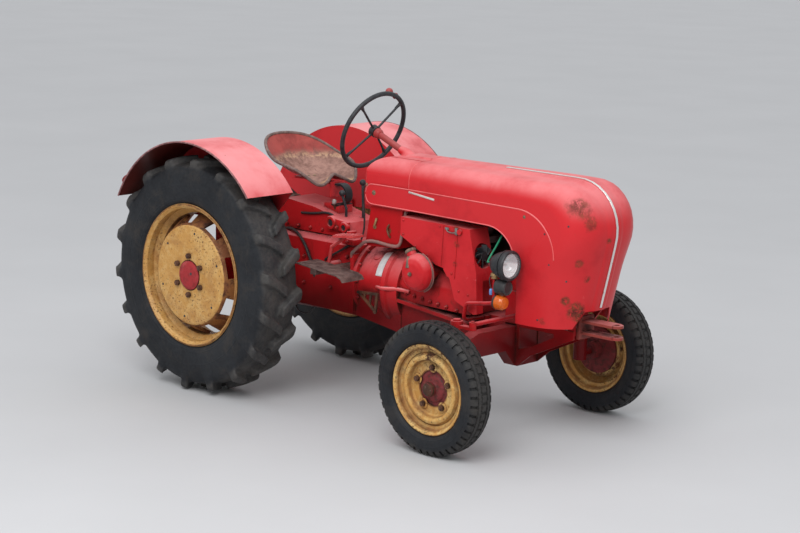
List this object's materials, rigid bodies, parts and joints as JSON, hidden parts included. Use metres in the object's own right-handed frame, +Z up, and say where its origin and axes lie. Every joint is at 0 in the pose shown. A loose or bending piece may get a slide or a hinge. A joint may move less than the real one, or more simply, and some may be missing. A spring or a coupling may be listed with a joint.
{
  "type": "vintage tractor",
  "caption": "Vintage farm tractor with a long tilting hood, open seat, lugged rear wheels and steered front wheels.",
  "frame": {"origin": "on the ground, midway between the foremost and rearmost points, on the middle plane", "axes": "+X forward, +Y to the driver's left, +Z up"},
  "size_m": [2.915, 1.48, 1.602],
  "materials": {
    "red_paint": "faded and scuffed red paint with rust at edges and chips",
    "ochre_paint": "ochre paint, rusty and chipped",
    "tyre_rubber": "near-black rubber, dusty",
    "worn_iron": "bare rusty iron",
    "soft_black": "worn black enamel",
    "engine_metal": "dull grey cast metal",
    "bright_trim": "dulled chrome strip",
    "lamp_glass": "clear fluted glass",
    "orange_lens": "orange lens",
    "red_lens": "dark red lens",
    "green_cover": "green cable cover",
    "battery_case": "black case"
  },
  "bodies": {
    "chassis": {"rear_axle": "red_paint", "gearbox": "red_paint", "bell_housing": "red_paint", "crankcase": "red_paint", "cylinders": "engine_metal", "cooling_shroud": "red_paint", "fan": "soft_black", "filter_bowl": "red_paint", "front_support": "red_paint", "front_axle": "red_paint", "front_hitch": "worn_iron", "steering_box": "red_paint", "fuel_tank": "red_paint", "console": "red_paint", "steering_column": "red_paint", "seat_pan": "worn_iron", "seat_mount": "red_paint", "fender_right": "red_paint", "fender_left": "red_paint", "footrests": "worn_iron", "pedals": "red_paint", "hand_levers": "soft_black", "headlamps": "soft_black", "lamp_glasses": "lamp_glass", "lamp_brackets": "red_paint", "indicators": "orange_lens", "lamp_lead": "green_cover", "battery": "battery_case", "exhaust": "worn_iron", "drawbar": "worn_iron", "pto_shaft": "worn_iron", "tail_lamps": "red_lens"},
    "hood": {"hood": "red_paint", "hood_strip": "bright_trim"},
    "knuckle_right": {"knuckle_right": "red_paint"},
    "knuckle_left": {"knuckle_left": "red_paint"},
    "tie_rod_right": {"tie_rod_right": "red_paint"},
    "tie_rod_left": {"tie_rod_left": "red_paint"},
    "drop_arm": {"drop_arm": "red_paint"},
    "steering_wheel": {"steering_wheel": "soft_black", "spinner_knob": "worn_iron"},
    "rear_wheel_right": {"rear_tyre_right": "tyre_rubber", "rear_rim_right": "ochre_paint", "rear_hub_right": "red_paint"},
    "front_wheel_right": {"front_tyre_right": "tyre_rubber", "front_rim_right": "ochre_paint", "front_hub_right": "red_paint"},
    "rear_wheel_left": {"rear_tyre_left": "tyre_rubber", "rear_rim_left": "ochre_paint", "rear_hub_left": "red_paint"},
    "front_wheel_left": {"front_tyre_left": "tyre_rubber", "front_rim_left": "ochre_paint", "front_hub_left": "red_paint"}
  },
  "joints": [
    {"name": "rear_wheel_right_spin", "type": "hinge", "parent": "chassis", "child": "rear_wheel_right", "pos_m": [-0.8395, -0.5685, 0.618], "axis": [0, 1, 0], "continuous": true},
    {"name": "rear_wheel_left_spin", "type": "hinge", "parent": "chassis", "child": "rear_wheel_left", "pos_m": [-0.8395, 0.5685, 0.618], "axis": [0, 1, 0], "continuous": true},
    {"name": "steer_right", "type": "hinge", "parent": "chassis", "child": "knuckle_right", "pos_m": [0.8405, -0.47, 0.32093], "axis": [0, 0, 1], "range_deg": [-35, 35]},
    {"name": "steer_left", "type": "hinge", "parent": "chassis", "child": "knuckle_left", "pos_m": [0.8405, 0.47, 0.32093], "axis": [0, 0, 1], "range_deg": [-35, 35]},
    {"name": "drop_arm_turn", "type": "hinge", "parent": "chassis", "child": "drop_arm", "pos_m": [0.8405, 0, 0.6], "axis": [0, 0, 1], "range_deg": [-35, 35]},
    {"name": "tie_rod_right_pivot", "type": "hinge", "parent": "knuckle_right", "child": "tie_rod_right", "pos_m": [0.9405, -0.47, 0.62], "axis": [0, 0, 1], "range_deg": [-35, 35]},
    {"name": "front_wheel_right_spin", "type": "hinge", "parent": "knuckle_right", "child": "front_wheel_right", "pos_m": [0.8405, -0.62, 0.32093], "axis": [0, 0.9996, 0.0297], "continuous": true},
    {"name": "tie_rod_left_pivot", "type": "hinge", "parent": "knuckle_left", "child": "tie_rod_left", "pos_m": [0.9405, 0.47, 0.62], "axis": [0, 0, 1], "range_deg": [-35, 35]},
    {"name": "front_wheel_left_spin", "type": "hinge", "parent": "knuckle_left", "child": "front_wheel_left", "pos_m": [0.8405, 0.62, 0.32093], "axis": [0, 0.9996, -0.0297], "continuous": true},
    {"name": "steering_wheel_turn", "type": "hinge", "parent": "chassis", "child": "steering_wheel", "pos_m": [-0.1825, 0, 1.386], "axis": [0.9272, 0, -0.3746], "range_deg": [-420, 420]},
    {"name": "hood_hinge", "type": "hinge", "parent": "chassis", "child": "hood", "pos_m": [1.2785, 0, 0.69], "axis": [0, 1, 0], "range_deg": [0, 60]}
  ],
  "couplings": [
    {"joint": "steer_left", "follows": "steer_right", "ratio": 1},
    {"joint": "drop_arm_turn", "follows": "steer_right", "ratio": 1},
    {"joint": "tie_rod_right_pivot", "follows": "steer_right", "ratio": -1},
    {"joint": "tie_rod_left_pivot", "follows": "steer_right", "ratio": -1},
    {"joint": "steering_wheel_turn", "follows": "steer_right", "ratio": -12}
  ]
}
